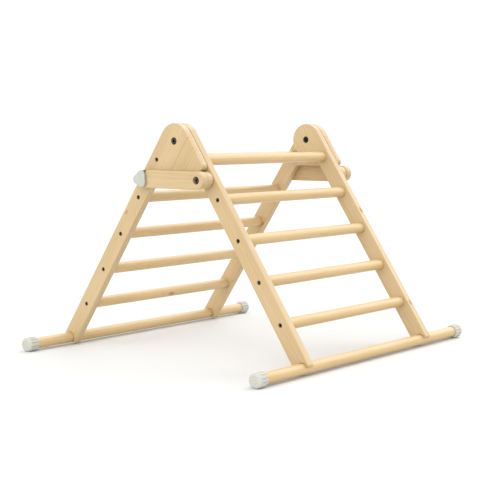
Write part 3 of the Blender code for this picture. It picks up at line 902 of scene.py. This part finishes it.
def rail(name, side_name):
    """One planed rail with its sockets, screw recesses and the saddle for the ground bar."""
    ladder = FRONT if name == "front" else REAR
    side = SIDES[side_name]
    inner, outer = (FRONT_INNER, FRONT_OUTER) if name == "front" else (REAR_INNER, REAR_OUTER)
    outline = front_rail_outline() if name == "front" else rear_rail_outline()
    middle = side * (inner + outer) / 2
    blank = placed(board(outline, BOARD, EDGE_ROUND), Matrix(), PIVOT + Vector((0, middle, 0)))
    cuts = [placed(saddle, outward(side), at(leg(ladder, GROUND_BAR_PLACE, RAIL_MID), middle))]
    for i in range(RUNG_COUNT):
        point = leg(ladder, FIRST_RUNG + RUNG_PITCH * i, RAIL_MID)
        cuts.append(placed(rung_socket, outward(-side), at(point, side * inner)))
        cuts.append(placed(screw_recess, outward(side), at(point, side * outer)))
    if name == "front":
        cuts.append(placed(pivot_recess, outward(-side), at(Vector((0, 0)), side * inner)))
    else:
        cuts.append(placed(pivot_recess, outward(side), at(Vector((0, 0)), side * outer)))
    made = evened(carved(blank, cuts))
    down = leg(ladder, 1, 0)
    out = leg(ladder, 0, 1)
    lay_grain(
        made,
        PIVOT + Vector((0, middle, 0)),
        Vector((down.x, 0, down.y)),
        Vector((out.x, 0, out.y)),
        RAIL_TIMBER[name, side_name],
        PLATE_JOINT if name == "rear" else None,
        RAIL_WARMTH[name, side_name],
    )
    node = f"{name}_rail_{side_name}"
    piece(f"{side_name}_{name}_rail_board", made, PINE_BOARD, f"{name}_ladder", "pine_board", node)


def lock_bar(side_name):
    """The bar that holds the ladders apart, and the round spacer that it turns on."""
    side = SIDES[side_name]
    timber = BAR_TIMBER[side_name]
    middle = at(LOCK_POINT, side * (BAR_INNER + BAR_OUTER) / 2)
    blank = placed(board(bar_outline(), BOARD, BAR_ROUND), Matrix(), middle)
    slot = placed(board(slot_outline(), 2 * BOARD, 0, 0), Matrix(), at(LOCK_POINT, side * BAR_OUTER))
    seat = placed(lock_recess, outward(side), at(LOCK_POINT, side * BAR_OUTER))
    made = evened(carved(blank, [seat, slot]))
    lay_grain(made, middle, Vector((1, 0, 0)), Vector((0, 0, 1)), timber, warm=BAR_WARMTH[side_name])
    body = f"{side_name}_lock_bar"
    piece(f"{side_name}_lock_bar_board", made, PINE_BOARD, body, "pine_board", f"lock_bar_{side_name}")

    high = (BAR_INNER - FRONT_OUTER) / 2 - SEAT_GAP
    rim = BAR_HEIGHT / 2 - 1.5 * MM
    ease = SPACER_ROUND
    bore = STUD_RADIUS + SEAT_GAP
    turns = [i * math.pi / 8 for i in range(5)]
    low_edge = [(rim - ease + ease * math.sin(turn), ease - high - ease * math.cos(turn)) for turn in turns]
    top_edge = [(reach, -height) for reach, height in reversed(low_edge)]
    disc = smooth(loft([(bore, -high)] + low_edge + top_edge + [(bore, high)], 96, hollow=True))
    middle = at(LOCK_POINT, side * (FRONT_OUTER + BAR_INNER) / 2)
    disc = placed(disc, outward(side), middle)
    lay_grain(disc, middle, Vector((1, 0, 0)), Vector((0, 0, 1)), timber + Vector((0.6, 0, 0)))
    piece(f"{side_name}_lock_spacer_disc", disc, PINE_BOARD, body, "pine_board", f"lock_spacer_{side_name}")


def cap():
    """A soft end cap made along Z, mouth down: a ribbed skirt, slightly barrelled, and a rounded end.

    The end has a shallow ring round a dimple, where the mould was filled.
    """
    bore = RUNG_RADIUS + SEAT_GAP
    skirt = CAP_LENGTH * 0.7
    shoulder = 6.5 * MM
    flat = CAP_RADIUS - shoulder

    def barrel(height):
        """The skirt's radius, a little less towards its mouth."""
        return CAP_RADIUS - 0.9 * MM * (1 - height / skirt) ** 2

    rings = [(bore, CAP_LENGTH - CAP_END), (bore, 0.4 * MM), (bore + 0.5 * MM, 0)]
    rings += [(barrel(0) - 0.6 * MM, 0), (barrel(0) - 0.15 * MM, 0.2 * MM), (barrel(0), 0.7 * MM)]
    rings += [(barrel(skirt * i / 8), skirt * i / 8) for i in range(1, 9)]
    rings += [(CAP_RADIUS, skirt + 0.4 * MM * i) for i in range(1, 8)]
    for i in range(1, 8):
        turn = i * math.pi / 16
        rings.append((flat + shoulder * math.cos(turn), CAP_LENGTH - shoulder * (1 - math.sin(turn))))
    dips = [(1.0, 0), (0.84, 0), (0.78, 0.7), (0.68, 0.9), (0.6, 0.3), (0.34, 0.2), (0.25, 1.0), (0.12, 1.3)]
    rings += [(flat * share, CAP_LENGTH - dip * MM) for share, dip in dips]
    values = {
        "Ribs": CAP_RIBS,
        "Depth": RIB_DEPTH,
        "Skirt": skirt,
        "Inside": RUNG_RADIUS + 2 * MM,
        "Material": CAP_RUBBER,
    }
    return smooth(grown(RIBBED_SKIRT, values, loft(rings, 192)))


def knob(side):
    """A flat hand knob with three lobes, one of them up and to the right, that stands on a smaller hub."""
    hollow = KNOB_RADIUS * 0.76
    mean = (KNOB_RADIUS + hollow) / 2
    swell = (KNOB_RADIUS - hollow) / 2
    tilt = -side * math.radians(66)

    def lobes(inset, soften=1.0):
        """Reach of the knob's outline, drawn in by this much and with softer lobes."""
        return lambda turn: mean - inset + swell * soften * math.cos(3 * (turn - tilt))

    hub = 2.6 * MM
    edge = 1.4 * MM
    rim = KNOB_THICKNESS - 0.3 * MM
    turns = [i * math.pi / 10 for i in range(6)]
    rings = [(lobes(4 * MM, 0.9), 0), (lobes(3.4 * MM, 0.9), 0.4 * MM), (lobes(3.4 * MM, 0.9), hub)]
    rings += [(lobes(0.5 * MM), hub), (lobes(0), hub + 0.5 * MM)]
    rings += [(lobes(edge * (1 - math.cos(turn))), rim - edge + edge * math.sin(turn)) for turn in turns]
    rings += [
        (lobes(edge + 3 * MM, 0.85), rim + 0.15 * MM),
        (lobes(edge + 8 * MM, 0.45), KNOB_THICKNESS),
        (1.5 * MM, KNOB_THICKNESS),
    ]
    return smooth(loft(rings, 144))


# The ladders
cap_shape = cap()
screw_shape = bpy.data.objects.new("rung_screw", RUNG_SCREW)
bpy.context.scene.collection.objects.link(screw_shape)
for name, ladder, inner, outer, seed in (
    ("front", FRONT, FRONT_INNER, FRONT_OUTER, 3),
    ("rear", REAR, REAR_INNER, REAR_OUTER, 8),
):
    body = f"{name}_ladder"
    first = leg(ladder, FIRST_RUNG, RAIL_MID)
    step = leg(ladder, RUNG_PITCH, 0)
    numbers = range(1, RUNG_COUNT + 1)
    for side_name in SIDES:
        rail(name, side_name)

    rungs = {
        "Count": RUNG_COUNT,
        "First": at(first, 0),
        "Step": Vector((step.x, 0, step.y)),
        "Radius": RUNG_RADIUS,
        "Length": 2 * (inner + SOCKET_DEPTH - SEAT_GAP),
        "Timber": RUNG_TIMBER[name],
        "Timber Step": RUNG_TIMBER_STEP,
        "Seed": seed,
        "Material": PINE_DOWEL,
    }
    row = smooth(grown(RUNG_ROW, rungs))
    piece(f"{name}_rung_dowels", row, PINE_DOWEL, body, "pine_dowel", *[f"{name}_rung_{i}" for i in numbers])

    foot = leg(ladder, GROUND_BAR_PLACE, RAIL_MID)
    bar = dict(rungs, Count=1, First=at(foot, 0), Length=GROUND_BAR_LENGTH, Timber=GROUND_BAR_TIMBER[name])
    piece(
        f"{name}_ground_bar_dowel",
        smooth(grown(RUNG_ROW, bar)),
        PINE_DOWEL,
        body,
        "pine_dowel",
        f"{name}_ground_bar",
    )

    screws = {
        "Screw": screw_shape,
        "Count": RUNG_COUNT,
        "First": at(first, -(outer - SCREW_RECESS)),
        "Step": Vector((step.x, 0, step.y)),
        "Seed": seed,
        "Material": BLACK_STEEL,
    }
    heads = [f"{name}_rung_screw_{side_name}_{i}" for side_name in SIDES for i in numbers]
    piece(f"{name}_rung_screws", smooth(grown(SCREW_ROWS, screws)), BLACK_STEEL, body, "black_steel", *heads)

    for side_name, side in SIDES.items():
        mouth = side * (GROUND_BAR_LENGTH / 2 - CAP_LENGTH + CAP_END + SEAT_GAP)
        end_cap = placed(cap_shape, outward(side), at(foot, mouth))
        piece(f"{side_name}_{name}_end_cap", end_cap, CAP_RUBBER, body, "cap", f"{name}_cap_{side_name}")
bpy.data.objects.remove(screw_shape)

# The pivots, lock bars and knobs
STUD_POINT = Vector((-LOCK_POINT.x, LOCK_POINT.y))
for side_name, side in SIDES.items():
    bolt = placed(PIVOT_BOLT, outward(side), at(Vector((0, 0)), side * (REAR_OUTER - PIVOT_RECESS)))
    node = f"pivot_bolt_{side_name}"
    piece(f"{side_name}_pivot_screw", bolt, BLACK_STEEL, "rear_ladder", "black_steel", node)
    nut = placed(PIVOT_SLEEVE, outward(-side), at(Vector((0, 0)), side * (FRONT_INNER + PIVOT_RECESS)))
    node = f"pivot_nut_{side_name}"
    piece(f"{side_name}_pivot_sleeve", nut, BLACK_STEEL, "rear_ladder", "black_steel", node)
    lock_bar(side_name)
    bolt = placed(LOCK_BOLT, outward(side), at(LOCK_POINT, side * (BAR_OUTER - LOCK_RECESS)))
    node = f"lock_bolt_{side_name}"
    piece(f"{side_name}_lock_screw", bolt, BLACK_STEEL, "front_ladder", "black_steel", node)
    grip = placed(knob(side), outward(side), at(STUD_POINT, side * KNOB_SEAT))
    piece(f"{side_name}_knob_grip", grip, KNOB_NYLON, f"{side_name}_knob", "knob", f"knob_{side_name}")

# Fasteners that keep the frame's own shape
for node, kept in frame["nodes"].items():
    steel = "stud" in node or "foot_screw" in node
    look = ZINC_STEEL if steel else WASHER_NYLON if "washer" in node else None
    if look:
        kept.data.materials.clear()
        kept.data.materials.append(look)

# Studio: a pale floor, a key light above the near side, a rim light above the far one and an even surround
floor_mesh = bpy.data.meshes.new("floor")
floor_mesh.from_pydata([(-15, -15, 0), (15, -15, 0), (15, 15, 0), (-15, 15, 0)], [], [(0, 1, 2, 3)])
floor_mesh.materials.append(studio_floor("matt_white_paper"))
floor = bpy.data.objects.new("floor", floor_mesh)
bpy.context.scene.collection.objects.link(floor)

world = bpy.data.worlds.new("studio")
world.use_nodes = True
world.node_tree.nodes["Background"].inputs["Color"].default_value = linear("FFFFFF")
world.node_tree.nodes["Background"].inputs["Strength"].default_value = 1.12
bpy.context.scene.world = world
bpy.context.scene.view_settings.view_transform = "Standard"


def soft_light(name, toward, strength, spread):
    """A distant soft light that shines from this direction, spread over this angle."""
    lamp = bpy.data.lights.new(name, "SUN")
    lamp.energy = strength
    lamp.angle = math.radians(spread)
    made = bpy.data.objects.new(name, lamp)
    made.rotation_euler = Vector(toward).to_track_quat("Z", "Y").to_euler()
    bpy.context.scene.collection.objects.link(made)


soft_light("key", (0.12, -0.82, 0.56), 1.25, 74)
soft_light("rim", (0.12, 0.75, 0.65), 1.38, 64)

# The camera stands a little right of the near side and just above the frame
YAW = math.radians(38.73)
PITCH = math.radians(5.0)
DISTANCE = 3.3837
TARGET = PIVOT + Vector((-0.0309, 0, -0.2683))
back = Vector((math.sin(YAW) * math.cos(PITCH), -math.cos(YAW) * math.cos(PITCH), math.sin(PITCH)))
lens = bpy.data.cameras.new("camera")
lens.lens = 94.04
lens.sensor_width = 36
camera = bpy.data.objects.new("camera", lens)
camera.location = TARGET + back * DISTANCE
camera.rotation_euler = back.to_track_quat("Z", "Y").to_euler()
bpy.context.scene.collection.objects.link(camera)
bpy.context.scene.camera = camera
